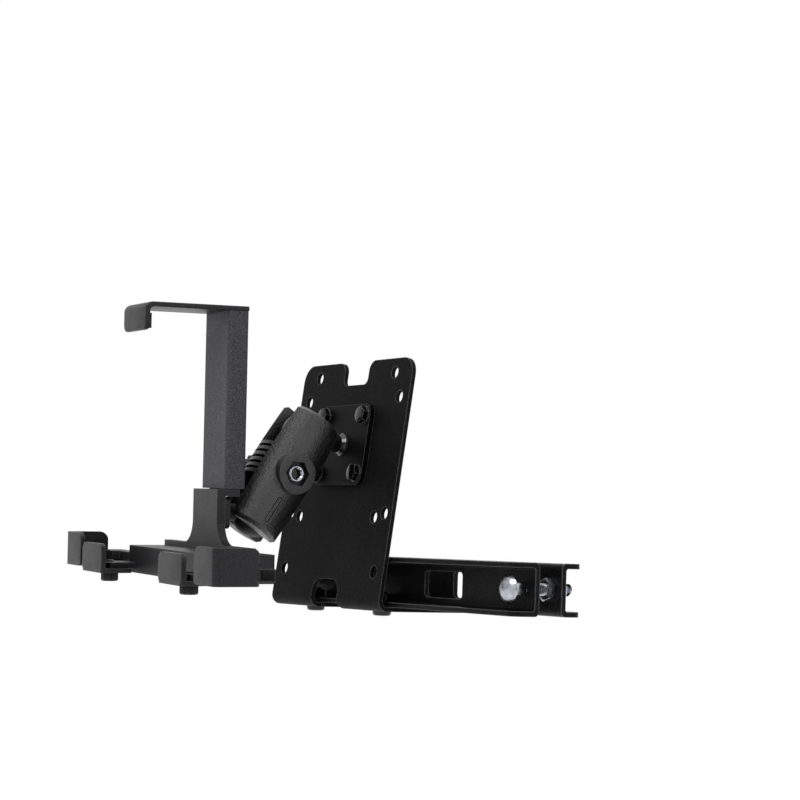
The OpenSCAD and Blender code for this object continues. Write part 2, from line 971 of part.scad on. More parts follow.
// Corner arm on the +X side: rail, link, end wall, floor and lip
module corner_arm(reach) {
    floor_z = -base_low + 2;
    wall_back = front_y + wall_depth;
    rail_in = reach - 98;
    translate([rail_in, rail_y, rail_low])
        cube([reach - lip_t - rail_in, rail_t, rail_h]);
    // link from the rail's end to the wall
    translate([reach - corner_lip + 4, wall_back - 4, rail_low])
        cube([corner_lip - 4 - lip_t, rail_y + rail_t - wall_back + 4, rail_h]);
    difference() {
        translate([reach - corner_lip, front_y, floor_z])
            soft_block([corner_lip, wall_depth, wall_h], 3.5);
        translate([reach - corner_lip - 4, front_y + lip_t, floor_z + lip_t])
            soft_block([corner_lip + 4 - lip_t, wall_depth + 4, wall_h], 2);
        // rounded free corner of the lip
        translate([reach - corner_lip, front_y + lip_t + 1, floor_z + wall_h])
            rotate([90, 0, 0])
                linear_extrude(lip_t + 2)
                    outer_corner(-1, 5);
    }
}

module right_corner_arm() {
    color(plastic)
        on_holder()
            corner_arm(right_reach);
}

module left_corner_arm() {
    color(plastic)
        on_holder()
            mirror([1, 0, 0])
                corner_arm(left_reach);
}

module corner_pad(reach) {
    floor_z = -base_low + 2 + lip_t;
    translate([reach - corner_lip + 3, front_y + lip_t, floor_z + 3])
        cube([corner_lip - lip_t - 6, pad_t, wall_h - lip_t - 6]);
}

module right_corner_pad() {
    color(rubber)
        on_holder()
            corner_pad(right_reach);
}

module left_corner_pad() {
    color(rubber)
        on_holder()
            mirror([1, 0, 0])
                corner_pad(left_reach);
}

foot_screw_d = 4;
foot_slot_l = 12;

// Foot: a slotted plate under the housing's tongue, with a lip at the front
module foot(side) {
    plate_l = 17;
    translate([side * foot_x, 0, 0])
        difference() {
            union() {
                translate([-foot_w / 2, front_y, -base_low])
                    soft_block([foot_w, plate_l, foot_plate_t], 2);
                translate([0, front_y + lip_t, -base_low + foot_lip_h / 2])
                    rotate([90, 0, 0])
                        linear_extrude(lip_t)
                            soft_rect(foot_w, foot_lip_h, 4);
            }
            translate([0, foot_screw_y, -base_low - 1])
                linear_extrude(foot_plate_t + 2)
                    soft_rect(foot_screw_d + 0.1, foot_slot_l, foot_screw_d / 2);
        }
}

module left_foot() {
    color(plastic)
        on_holder()
            foot(-1);
}

module right_foot() {
    color(plastic)
        on_holder()
            foot(1);
}

module foot_pad(side) {
    translate([side * foot_x - foot_w / 2 + 4, front_y + lip_t, -base_low + foot_plate_t + tongue_t + 0.5])
        cube([foot_w - 8, pad_t, 7.5]);
}

module left_foot_pad() {
    color(rubber)
        on_holder()
            foot_pad(-1);
}

module right_foot_pad() {
    color(rubber)
        on_holder()
            foot_pad(1);
}

// Thumb screw under each foot, with a scalloped head; it clamps the foot to the tongue
module foot_screw(side) {
    head = 4.8;
    head_r = 4.5;
    lobes = 8;
    shank = foot_plate_t + tongue_t + 1;
    translate([side * foot_x, foot_screw_y, -base_low]) {
        translate([0, 0, -head])
            difference() {
                cylinder(r = head_r, h = head);
                for (i = [0 : lobes - 1])
                    rotate(360 * i / lobes)
                        translate([head_r + 0.6, 0, -1])
                            cylinder(r = 1.2, h = head + 2, $fn = 24);
            }
        translate([0, 0, -0.3])
            cylinder(d = foot_screw_d, h = shank + 0.3);
    }
}

module left_foot_screw() {
    color(plastic)
        on_holder()
            foot_screw(-1);
}

module right_foot_screw() {
    color(plastic)
        on_holder()
            foot_screw(1);
}

front_clamp_bar();
rear_clamp_bar();
near_clamp_bolt();
far_clamp_bolt();
inner_nuts();
near_clamp_nut();
far_clamp_nut();
mounting_plate();
shelf_screws();
shelf_nuts();
upper_ball_plate();
upper_plate_bolts();
upper_plate_nuts();
upper_ball();
arm_near_half();
arm_far_half();
arm_spring();
arm_screw();
tightening_knob();
lower_ball();
lower_ball_plate();
lower_plate_screws();
base_housing();
inner_mast();
sliding_sleeve();
top_hook();
hook_pad();
left_corner_arm();
right_corner_arm();
left_corner_pad();
right_corner_pad();
left_foot();
right_foot();
left_foot_pad();
right_foot_pad();
left_foot_screw();
right_foot_screw();
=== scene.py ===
from math import asin, cos, pi, radians, sin, sqrt

import bpy
import bmesh
from mathutils import Euler, Matrix, Vector


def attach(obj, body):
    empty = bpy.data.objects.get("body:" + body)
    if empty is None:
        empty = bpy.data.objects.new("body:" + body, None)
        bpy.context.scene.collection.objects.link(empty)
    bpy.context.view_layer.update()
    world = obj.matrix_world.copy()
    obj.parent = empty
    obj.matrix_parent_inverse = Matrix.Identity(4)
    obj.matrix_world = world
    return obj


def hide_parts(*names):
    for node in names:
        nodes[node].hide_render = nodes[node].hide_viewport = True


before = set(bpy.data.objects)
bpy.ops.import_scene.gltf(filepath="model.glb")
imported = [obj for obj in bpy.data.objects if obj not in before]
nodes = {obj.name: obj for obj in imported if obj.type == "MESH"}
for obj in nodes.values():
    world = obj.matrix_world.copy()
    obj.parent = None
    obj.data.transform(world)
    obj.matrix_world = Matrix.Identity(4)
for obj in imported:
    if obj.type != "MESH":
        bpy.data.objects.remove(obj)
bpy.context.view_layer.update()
mm = 0.001
bpy.ops.object.select_all(action="DESELECT")
print("frame loaded")

# camera, fitted to the square picture
view = {
    "place": (0.9347, -0.6137, 0.01746),
    "yaw": 57.5,
    "pitch": 3.82,
    "roll": 1.91,
    "lens": 99.36,
    "sensor": 36.0,
}


def addCamera(v):
    yaw, pitch, roll = radians(v["yaw"]), radians(v["pitch"]), radians(v["roll"])
    ahead = Vector((-sin(yaw) * cos(pitch), cos(yaw) * cos(pitch), sin(pitch)))
    side = Vector((cos(yaw), sin(yaw), 0))
    up = side.cross(ahead)
    right = cos(roll) * side + sin(roll) * up
    top = -sin(roll) * side + cos(roll) * up
    bpy.ops.object.camera_add()
    cam = bpy.context.object
    cam.name = "photo_camera"
    turn = Matrix((right, top, -ahead)).transposed()
    cam.matrix_world = Matrix.Translation(v["place"]) @ turn.to_4x4()
    cam.data.lens = v["lens"]
    cam.data.sensor_width = v["sensor"]
    cam.data.clip_start = 0.05
    cam.data.clip_end = 20
    bpy.context.scene.camera = cam


addCamera(view)
scene = bpy.context.scene
scene.view_settings.view_transform = "Standard"
print("camera set")

# room: white surroundings, a pale floor and soft lamps
room = {
    "floorHeight": -0.19,
    "floorSize": 9.0,
    "floorColour": (0.93, 0.93, 0.93),
    "floorGlow": 0.7,
    "glow": 0.3,
    "lamps": [
        # name, place, size, power
        ("key_lamp", (0.30, -1.05, 1.0), (0.8, 0.6), 8.0),
        ("side_lamp", (1.25, 0.45, 0.5), (0.5, 0.8), 2.6),
        ("top_lamp", (-0.1, 0.05, 1.2), (0.9, 0.9), 4.5),
        ("back_lamp", (-0.9, 0.8, 0.5), (0.6, 0.6), 2.5),
    ],
    "aim": (-0.02, -0.04, 0.03),
}


def newMaterial(name):
    made = bpy.data.materials.new(name)
    made.use_nodes = True
    tree = made.node_tree
    return made, tree, tree.nodes["Principled BSDF"]


# rays from the camera and rays in gloss meet plain white, all others the soft glow
def whiteRays(tree):
    path = tree.nodes.new("ShaderNodeLightPath")
    first = tree.nodes.new("ShaderNodeMath")
    second = tree.nodes.new("ShaderNodeMath")
    second.use_clamp = True
    tree.links.new(path.outputs["Is Camera Ray"], first.inputs[0])
    tree.links.new(path.outputs["Is Glossy Ray"], first.inputs[1])
    tree.links.new(first.outputs["Value"], second.inputs[0])
    tree.links.new(path.outputs["Is Transmission Ray"], second.inputs[1])
    return second.outputs["Value"]


def buildRoom(r):
    world = scene.world or bpy.data.worlds.new("studio")
    scene.world = world
    world.use_nodes = True
    tree = world.node_tree
    tree.nodes.clear()
    out = tree.nodes.new("ShaderNodeOutputWorld")
    seen = tree.nodes.new("ShaderNodeBackground")
    lit = tree.nodes.new("ShaderNodeBackground")
    mix = tree.nodes.new("ShaderNodeMixShader")
    seen.inputs["Color"].default_value = (1, 1, 1, 1)
    seen.inputs["Strength"].default_value = 1.0
    lit.inputs["Color"].default_value = (0.96, 0.98, 1.0, 1)
    lit.inputs["Strength"].default_value = r["glow"]
    tree.links.new(whiteRays(tree), mix.inputs["Fac"])
    tree.links.new(lit.outputs["Background"], mix.inputs[1])
    tree.links.new(seen.outputs["Background"], mix.inputs[2])
    tree.links.new(mix.outputs["Shader"], out.inputs["Surface"])

    bpy.ops.mesh.primitive_plane_add(size=r["floorSize"], location=(0, 0, r["floorHeight"]))
    floor = bpy.context.object
    floor.name = "studio_floor"
    paper, tree, shader = newMaterial("floor_paper")
    shader.inputs["Base Color"].default_value = (*r["floorColour"], 1)
    shader.inputs["Roughness"].default_value = 0.9
    shader.inputs["Specular IOR Level"].default_value = 0.1
    shader.inputs["Emission Color"].default_value = (1, 1, 1, 1)
    shown = tree.nodes.new("ShaderNodeMath")
    shown.operation = "MULTIPLY"
    shown.inputs[1].default_value = r["floorGlow"]
    tree.links.new(whiteRays(tree), shown.inputs[0])
    tree.links.new(shown.outputs["Value"], shader.inputs["Emission Strength"])
    floor.data.materials.append(paper)

    aim = Vector(r["aim"])
    for name, place, size, power in r["lamps"]:
        bpy.ops.object.light_add(type="AREA", location=place)
        lamp = bpy.context.object
        lamp.name = name
        lamp.data.shape = "RECTANGLE"
        lamp.data.size, lamp.data.size_y = size
        lamp.data.energy = power
        lamp.rotation_euler = (aim - Vector(place)).to_track_quat("-Z", "Y").to_euler()


buildRoom(room)
print("room built")

# looks: base colour, roughness and its spread, grain size, relief, lighter edges that are partly wear and
# partly painted highlight
looks = {
    "coated": dict(colour=(0.0062, 0.0062, 0.0064), rough=0.58, spread=0.08, grain=1150, bump=0.45,
                   wearAndHighlightTone=(0.22, 0.22, 0.22), edge=0.9, shine=0.05),
    "barPaint": dict(colour=(0.004, 0.004, 0.0045), rough=0.36, spread=0.12, grain=1000, bump=0.5,
                     wearAndHighlightTone=(0.24, 0.24, 0.245), edge=1.1, shine=0.07),
    "ballPlate": dict(colour=(0.0035, 0.0035, 0.0038), rough=0.42, spread=0.08, grain=1500, bump=0.15,
                      wearAndHighlightTone=(0.26, 0.26, 0.26), edge=0.6, shine=0.05),
    "armGrain": dict(colour=(0.0095, 0.0095, 0.0105), rough=0.36, spread=0.1, grain=900, bump=1.0,
                     wearAndHighlightTone=(0.2, 0.2, 0.205), edge=0.6, shine=0.6),
    "bossRing": dict(colour=(0.045, 0.045, 0.047), rough=0.5, spread=0.08, grain=1300, bump=0.4,
                     wearAndHighlightTone=(0.14, 0.14, 0.145), edge=0.4, shine=0.3),
    "holder": dict(colour=(0.0105, 0.0105, 0.012), rough=0.42, spread=0.08, grain=1300, bump=0.5,
                   wearAndHighlightTone=(0.17, 0.17, 0.175), edge=0.7, shine=0.22),
    "column": dict(colour=(0.052, 0.049, 0.059), rough=0.55, spread=0.08, grain=1350, bump=1.0,
                   wearAndHighlightTone=(0.13, 0.125, 0.14), edge=0.5, shine=0.25),
    "knob": dict(colour=(0.011, 0.011, 0.012), rough=0.4, spread=0.08, grain=1500, bump=0.25,
                 wearAndHighlightTone=(0.12, 0.12, 0.12), edge=0.35, shine=0.2),
    "rubber": dict(colour=(0.012, 0.012, 0.012), rough=0.55, spread=0.08, grain=1500, bump=0.3,
                   wearAndHighlightTone=(0.05, 0.05, 0.05), edge=0.3, shine=0.2),
    "oxide": dict(colour=(0.003, 0.003, 0.0035), rough=0.14, spread=0.05, grain=900, bump=0.02,
                  wearAndHighlightTone=(0.45, 0.45, 0.45), edge=0.4, shine=0.3),
    "stud": dict(colour=(0.004, 0.004, 0.0045), rough=0.2, spread=0.05, grain=900, bump=0.03,
                 wearAndHighlightTone=(0.5, 0.5, 0.5), edge=0.5, shine=0.8),
}


# edge mask settings: the lighter edge line they give is partly wear and partly a painted highlight
grainLook = {
    "fineDetail": 3, "broadScale": 70, "broadDetail": 4,
    "darkAt": 0.36, "lightAt": 0.66, "dark": 0.55, "light": 1.7,
    "edgeSamples": 6, "flat": 0.985, "sharp": 0.80, "wearAndHighlight": 0.75,
    "patchLow": 0.35, "patchHigh": 0.7, "patchLeast": 0.45, "depth": 0.0005,
}


# moulded or painted surface: fine speckle, broad unevenness and a lighter line along its edges, partly wear
# and partly a painted highlight
def grained(name, colour, rough, spread, grain, bump, wearAndHighlightTone, edge, shine):
    g = grainLook
    made, tree, shader = newMaterial(name)
    link = tree.links.new
    place = tree.nodes.new("ShaderNodeTexCoord")
    fine = tree.nodes.new("ShaderNodeTexNoise")
    fine.inputs["Scale"].default_value = grain
    fine.inputs["Detail"].default_value = g["fineDetail"]
    broad = tree.nodes.new("ShaderNodeTexNoise")
    broad.inputs["Scale"].default_value = g["broadScale"]
    broad.inputs["Detail"].default_value = g["broadDetail"]
    link(place.outputs["Object"], fine.inputs["Vector"])
    link(place.outputs["Object"], broad.inputs["Vector"])

    band = tree.nodes.new("ShaderNodeMapRange")
    band.inputs["To Min"].default_value = rough - spread
    band.inputs["To Max"].default_value = rough + spread
    link(broad.outputs["Fac"], band.inputs["Value"])
    link(band.outputs["Result"], shader.inputs["Roughness"])

    speckle = tree.nodes.new("ShaderNodeValToRGB")
    speckle.color_ramp.elements[0].position = g["darkAt"]
    speckle.color_ramp.elements[0].color = (*[c * g["dark"] for c in colour], 1)
    speckle.color_ramp.elements[1].position = g["lightAt"]
    speckle.color_ramp.elements[1].color = (*[c * g["light"] for c in colour], 1)
    link(fine.outputs["Fac"], speckle.inputs["Fac"])

    # where the rounded normal leaves the true one, the surface is an edge, and there the colour is
    # lightened: partly wear, partly a painted highlight
    rounded = tree.nodes.new("ShaderNodeBevel")
    rounded.samples = g["edgeSamples"]
    rounded.inputs["Radius"].default_value = edge * mm
    true = tree.nodes.new("ShaderNodeNewGeometry")
    apart = tree.nodes.new("ShaderNodeVectorMath")
    apart.operation = "DOT_PRODUCT"
    link(rounded.outputs["Normal"], apart.inputs[0])
    link(true.outputs["Normal"], apart.inputs[1])
    ridge = tree.nodes.new("ShaderNodeMapRange")
    ridge.inputs["From Min"].default_value = g["flat"]
    ridge.inputs["From Max"].default_value = g["sharp"]
    ridge.inputs["To Max"].default_value = g["wearAndHighlight"]
    link(apart.outputs["Value"], ridge.inputs["Value"])
    wearAndHighlight = tree.nodes.new("ShaderNodeMath")
    wearAndHighlight.operation = "MULTIPLY"
    patchy = tree.nodes.new("ShaderNodeMapRange")
    patchy.inputs["From Min"].default_value = g["patchLow"]
    patchy.inputs["From Max"].default_value = g["patchHigh"]
    patchy.inputs["To Min"].default_value = g["patchLeast"]
    link(fine.outputs["Fac"], patchy.inputs["Value"])
    link(ridge.outputs["Result"], wearAndHighlight.inputs[0])
    link(patchy.outputs["Result"], wearAndHighlight.inputs[1])
    # the lighter edge colour mixed in here is partly wear and partly a painted highlight
    shade = tree.nodes.new("ShaderNodeMix")
    shade.data_type = "RGBA"
    shade.inputs["B"].default_value = (*wearAndHighlightTone, 1)
    link(wearAndHighlight.outputs["Value"], shade.inputs["Factor"])
    link(speckle.outputs["Color"], shade.inputs["A"])
    link(shade.outputs["Result"], shader.inputs["Base Color"])

    relief = tree.nodes.new("ShaderNodeBump")
    relief.inputs["Strength"].default_value = bump
    relief.inputs["Distance"].default_value = g["depth"]
    link(fine.outputs["Fac"], relief.inputs["Height"])
    link(relief.outputs["Normal"], shader.inputs["Normal"])
    shader.inputs["Specular IOR Level"].default_value = shine
    return made


# bright plated steel with cloudy sheen and fine scratches
def plated(name, colour, rough):
    made, tree, shader = newMaterial(name)
    link = tree.links.new
    place = tree.nodes.new("ShaderNodeTexCoord")
    cloud = tree.nodes.new("ShaderNodeTexNoise")
    cloud.inputs["Scale"].default_value = 420
    cloud.inputs["Detail"].default_value = 6
    link(place.outputs["Object"], cloud.inputs["Vector"])
    band = tree.nodes.new("ShaderNodeMapRange")
    band.inputs["To Min"].default_value = rough - 0.12
    band.inputs["To Max"].default_value = rough + 0.18
    link(cloud.outputs["Fac"], band.inputs["Value"])
    link(band.outputs["Result"], shader.inputs["Roughness"])
    tone = tree.nodes.new("ShaderNodeValToRGB")
    tone.color_ramp.elements[0].position = 0.3
    tone.color_ramp.elements[0].color = (*[c * 0.55 for c in colour], 1)
    tone.color_ramp.elements[1].position = 0.7
    tone.color_ramp.elements[1].color = (*colour, 1)
    link(cloud.outputs["Fac"], tone.inputs["Fac"])
    link(tone.outputs["Color"], shader.inputs["Base Color"])
    shader.inputs["Metallic"].default_value = 1.0
    relief = tree.nodes.new("ShaderNodeBump")
    relief.inputs["Strength"].default_value = 0.25
    relief.inputs["Distance"].default_value = 0.0003
    link(cloud.outputs["Fac"], relief.inputs["Height"])
    link(relief.outputs["Normal"], shader.inputs["Normal"])
    return made


finish = {name: grained(name, **values) for name, values in looks.items()}
finish["zinc"] = plated("zinc", (0.42, 0.44, 0.48), 0.24)

# sizes shared with the part, in millimetres, and the places of its three frames
shape = {
    "lean": 7.6, "plateX": -53.0, "plateY": -28.215, "plateBottom": -14.8,
    "squareV": 85.1, "ballOut": 26.5, "armCentres": 48.0, "armLean": 33.0,
    "holderTurn": (1.5, 1.5, -7.0),
}


def turned(x=0.0, y=0.0, z=0.0):
    return Euler((radians(x), radians(y), radians(z)), "XYZ").to_matrix().to_4x4()


def moved(x=0.0, y=0.0, z=0.0):
    return Matrix.Translation((x * mm, y * mm, z * mm))


onPlate = moved(shape["plateX"], shape["plateY"], shape["plateBottom"]) @ turned(90 - shape["lean"])
upperBall = onPlate @ Vector((0, shape["squareV"] * mm, shape["ballOut"] * mm))
armDown = Vector((0, -sin(radians(shape["armLean"])), -cos(radians(shape["armLean"]))))
lowerBall = upperBall + armDown * shape["armCentres"] * mm
onArm = Matrix.Translation((upperBall + lowerBall) / 2) @ turned(-shape["armLean"])
onHolder = Matrix.Translation(lowerBall) @ turned(*shape["holderTurn"])


def apply(obj, step):
    bpy.context.view_layer.objects.active = obj
    bpy.ops.object.modifier_apply(modifier=step.name)


def only(obj):
    bpy.ops.object.select_all(action="DESELECT")
    obj.select_set(True)
    bpy.context.view_layer.objects.active = obj


def place(obj, matrix):
    only(obj)
    obj.matrix_world = matrix @ obj.matrix_world
    bpy.ops.object.transform_apply(location=True, rotation=True, scale=True)
    return obj


# a closed round: the outline is drawn from a single vertex and spun about Z
def lathe(outline, sides=64):
    bpy.ops.object.select_all(action="DESELECT")
    bpy.ops.mesh.primitive_plane_add(size=0.001)
    made = bpy.context.object
    bpy.ops.object.mode_set(mode="EDIT")
    bpy.ops.mesh.select_mode(type="VERT")
    bpy.ops.mesh.merge(type="CENTER")
    bpy.ops.object.mode_set(mode="OBJECT")
    made.data.vertices[0].co = (outline[0][0] * mm, 0, outline[0][1] * mm)
    bpy.ops.object.mode_set(mode="EDIT")
    bpy.ops.mesh.select_all(action="SELECT")
    for before, after in zip(outline, outline[1:]):
        step = ((after[0] - before[0]) * mm, 0, (after[1] - before[1]) * mm)
        bpy.ops.mesh.extrude_region_move(TRANSFORM_OT_translate={"value": step})
    bpy.ops.mesh.select_all(action="SELECT")
    bpy.ops.mesh.spin(steps=sides, angle=2 * pi, center=(0, 0, 0), axis=(0, 0, 1))
    bpy.ops.mesh.select_all(action="SELECT")
    bpy.ops.mesh.remove_doubles(threshold=0.00001)
    bpy.ops.mesh.normals_make_consistent(inside=False)
    bpy.ops.object.mode_set(mode="OBJECT")
    return made


def tube(radius, low, high, sides=48):
    bpy.ops.object.select_all(action="DESELECT")
    bpy.ops.mesh.primitive_cylinder_add(
        vertices=sides, radius=radius * mm, depth=(high - low) * mm,
        location=(0, 0, (low + high) / 2 * mm))
    made = bpy.context.object
    bpy.ops.object.transform_apply(location=True, rotation=True, scale=True)
    return made


def block(low, high):
    bpy.ops.object.select_all(action="DESELECT")
    bpy.ops.mesh.primitive_cube_add(
        size=1, location=[(a + b) / 2 * mm for a, b in zip(low, high)],
        scale=[(b - a) * mm for a, b in zip(low, high)])
    made = bpy.context.object
    bpy.ops.object.transform_apply(location=True, rotation=False, scale=True)
    return made


def combine(obj, other, how):
    step = obj.modifiers.new(how.lower(), "BOOLEAN")
    step.operation = how
    step.object = other
    step.solver = "EXACT"
    apply(obj, step)
    bpy.data.objects.remove(other, do_unlink=True)
    return obj


def soften(obj, width, segments=2, angle=35):
    step = obj.modifiers.new("soft_edges", "BEVEL")
    step.width = width * mm
    step.segments = segments
    step.limit_method = "ANGLE"
    step.angle_limit = radians(angle)
    apply(obj, step)
    return obj


# rounds the edges whose two ends, in millimetres, pass the test
def roundEdges(obj, test, width, segments=6):
    only(obj)
    bpy.ops.object.mode_set(mode="EDIT")
    bpy.ops.mesh.select_mode(type="EDGE")
    bpy.ops.mesh.select_all(action="DESELECT")
    mesh = bmesh.from_edit_mesh(obj.data)
    for edge in mesh.edges:
        a, b = [v.co / mm for v in edge.verts]
        edge.select = bool(test(a, b))
    bmesh.update_edit_mesh(obj.data)
    bpy.ops.mesh.bevel(offset=width * mm, segments=segments, affect="EDGES")
    bpy.ops.object.mode_set(mode="OBJECT")
    return obj


def near(value, target, room=0.01):
    return abs(value - target) < room


# thread ridges, wound from a small triangle with a screw modifier
def thread(radius, low, high, pitch=1.0, steps=20):
    bpy.ops.object.select_all(action="DESELECT")
    bpy.ops.mesh.primitive_plane_add(size=0.001)
    made = bpy.context.object
    bpy.ops.object.mode_set(mode="EDIT")
    bpy.ops.mesh.select_mode(type="VERT")
    bpy.ops.mesh.merge(type="CENTER")
    bpy.ops.object.mode_set(mode="OBJECT")
    depth = 0.6 * pitch
    made.data.vertices[0].co = ((radius - depth) * mm, 0, low * mm)
    bpy.ops.object.mode_set(mode="EDIT")
    bpy.ops.mesh.select_all(action="SELECT")
    bpy.ops.mesh.extrude_region_move(TRANSFORM_OT_translate={"value": (depth * mm, 0, pitch / 2 * mm)})
    bpy.ops.mesh.extrude_region_move(TRANSFORM_OT_translate={"value": (-depth * mm, 0, pitch / 2 * mm)})
    bpy.ops.object.mode_set(mode="OBJECT")
    wind = made.modifiers.new("wind", "SCREW")
    wind.axis = "Z"
    wind.screw_offset = pitch * mm
    wind.iterations = int((high - low) / pitch)
    wind.steps = steps
    wind.render_steps = steps
    wind.use_merge_vertices = True
    wind.merge_threshold = 0.00001
    apply(made, wind)
    return made


def copyOf(obj):
    twin = obj.copy()
    twin.data = obj.data.copy()
    scene.collection.objects.link(twin)
    return twin


def join(parts):
    bpy.ops.object.select_all(action="DESELECT")
    for part in parts:
        part.select_set(True)
    bpy.context.view_layer.objects.active = parts[0]
    if len(parts) > 1:
        bpy.ops.object.join()
    return parts[0]


# names a finished piece, gives it its look and its body, and hides the plain solid
def settle(obj, name, look, body, slot, *replaced, smooth=35):
    only(obj)
    obj.name = name
    obj.data.name = name
    bpy.ops.object.mode_set(mode="EDIT")
    bpy.ops.mesh.select_all(action="SELECT")
    bpy.ops.mesh.normals_make_consistent(inside=False)
    bpy.ops.object.mode_set(mode="OBJECT")
    bpy.ops.object.shade_smooth_by_angle(angle=radians(smooth))
    obj.data.materials.clear()
    obj.data.materials.append(finish[look])
    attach(obj, body)
    if replaced:
        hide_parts(*replaced)
    return obj


# gives a second look to the faces whose middle, in millimetres, passes the test
def faceLook(obj, back, look, test):
    obj.data.materials.append(finish[look])
    for face in obj.data.polygons:
        if test((back @ face.center) / mm):
            face.material_index = 1


# hexagon with the round chamfer that a turned nut or head has
def hexagon(across, height, bore=0.0, chamfer=0.5, bothEnds=True):
    corner = across / cos(pi / 6) / 2
    made = tube(corner, 0, height, sides=6)
    inner = corner - chamfer * sqrt(3)
    low = [(0, 0), (inner, 0), (corner + 0.1, chamfer + 0.06)] if bothEnds else [(0, 0), (corner + 0.1, 0)]
    high = [(corner + 0.1, height - chamfer - 0.06), (inner, height), (0, height)]
    combine(made, lathe(low + high, 48), "INTERSECT")
    if bore:
        combine(made, tube(bore / 2, -1, height + 1, 32), "DIFFERENCE")
    return made


clampBolt = {"x": 97.0, "headD": 14.0, "headH": 3.4, "headY": -16.95, "neck": 6.0, "neckL": 8.1,
             "radius": 3.0, "end": 18.35, "pitch": 1.0}


# domed bolt with a square neck under the head; its axis runs along the bar's depth
def makeClampBolt(b, side):
    dome = (b["headD"] ** 2 / 4 + b["headH"] ** 2) / (2 * b["headH"])
    steps = 10
    front = b["headY"]
    curve = []
    for i in range(steps + 1):
        z = -b["headH"] * (1 - i / steps) ** 1.6
        curve.append((sqrt(max(dome ** 2 - (z + b["headH"] - dome) ** 2, 0)), front + z))
    curve[0] = (0, front - b["headH"])
    curve.append((b["headD"] / 2 - 0.35, front + 0.35))
    curve.append((0, front + 0.35))
    head = lathe(curve, 64)
    half = b["neck"] / 2
    neck = block((-half, -half, front), (half, half, front + b["neckL"]))
    soften(neck, 0.5)
    core = lathe([(0, front + 5), (b["radius"] - 0.55, front + 5), (b["radius"] - 0.55, b["end"] - 0.5),
                  (b["radius"] - 1.0, b["end"]), (0, b["end"])], 32)
    ridges = thread(b["radius"], front + b["neckL"], b["end"] - 0.6, b["pitch"])
    bolt = join([head, neck, core, ridges])
    return place(bolt, moved(side * b["x"]) @ turned(-90))


for side, name in ((1, "near_clamp_bolt"), (-1, "far_clamp_bolt")):
    settle(makeClampBolt(clampBolt, side), "domed_" + name, "zinc", "bracket", "zinc", name)

clampNut = {"across": 10.0, "height": 4.5, "thin": 3.0, "bore": 5.9, "gap": 6.35, "web": 2.5}


def makeClampNut(n, x, y, height):
    return place(hexagon(n["across"], height, n["bore"]), moved(x, y) @ turned(-90) @ turned(z=12))


thinY = clampNut["gap"] - clampNut["thin"]
outerY = clampNut["gap"] + clampNut["web"]
thinNuts = [makeClampNut(clampNut, side * clampBolt["x"], thinY, clampNut["thin"]) for side in (1, -1)]
settle(join(thinNuts), "thin_nuts", "zinc", "rear_bar", "zinc", "inner_nuts")
for side, which in ((1, "near"), (-1, "far")):
    outer = makeClampNut(clampNut, side * clampBolt["x"], outerY, clampNut["height"])
    settle(outer, which + "_outer_nut", "zinc", which + "_nut", "zinc", which + "_clamp_nut")
print("clamp bolts and nuts made")

plateBolt = {"across": 8.0, "head": 3.6, "radius": 2.5, "washerR": 4.9, "washerT": 0.5, "plate": 3.0,
             "sheet": 2.3, "stick": 5.2, "nut": 4.0, "bore": 4.9, "chamfer": 0.45, "u": 19.05, "v": 15.1,
             "turns": (8, 40, 22, 51)}


# hexagon bolts with washers on the ball plate, and their nuts behind the mounting plate
def makePlateBolts(b):
    heads, nuts = [], []
    end = -b["plate"] - b["sheet"] - b["stick"]
    corners = [(u, v) for u in (-1, 1) for v in (-1, 1)]
    for (u, v), turn in zip(corners, b["turns"]):
        across, along = u * b["u"], shape["squareV"] + v * b["v"]
        head = hexagon(b["across"], b["head"] - b["washerT"], chamfer=b["chamfer"], bothEnds=False)
        place(head, moved(z=b["washerT"]))
        washer = soften(tube(b["washerR"], 0, b["washerT"], 40), 0.12, angle=60)
        shank = lathe([(0, 0), (b["radius"], 0), (b["radius"], end + 0.5), (b["radius"] - 0.5, end),
                       (0, end)], 24)
        spot = onPlate @ moved(across, along, b["plate"]) @ turned(z=turn)
        heads.append(place(join([head, washer, shank]), spot))
        nut = hexagon(b["across"], b["nut"], b["bore"], b["chamfer"])
        under = onPlate @ moved(across, along, -b["sheet"] - b["nut"]) @ turned(z=turn)
        nuts.append(place(nut, under))
    return join(heads), join(nuts)


ballPlateBolts, ballPlateNuts = makePlateBolts(plateBolt)
settle(ballPlateBolts, "ball_plate_bolts", "oxide", "bracket", "black_oxide", "upper_plate_bolts")
settle(ballPlateNuts, "ball_plate_nuts", "oxide", "bracket", "black_oxide", "upper_plate_nuts")
print("ball plate bolts made")

stud = {"ball": 12.5, "stem": 4.5, "flare": 1.6, "foot": 3.0, "rim": 0.8}


# ball on its stem, turned in one piece
def makeStud(d):
    out = shape["ballOut"]
    start = asin(d["stem"] / d["ball"])
    rows = 28
    turns = [start + (pi - start) * i / rows for i in range(rows)]
    curve = [(d["ball"] * sin(t), out - d["ball"] * cos(t)) for t in turns]
    wide, rise = d["stem"] + d["flare"], d["foot"] + d["rim"]
    foot = [(0, d["foot"]), (wide, d["foot"]), (wide, rise), (d["stem"], rise + d["flare"])]
    return lathe(foot + curve + [(0, out + d["ball"])], 96)


upperStud = place(makeStud(stud), onPlate @ moved(0, shape["squareV"]))
settle(upperStud, "upper_ball_stud", "stud", "upper_ball", "black_oxide", "upper_ball")
print("ball stud made")

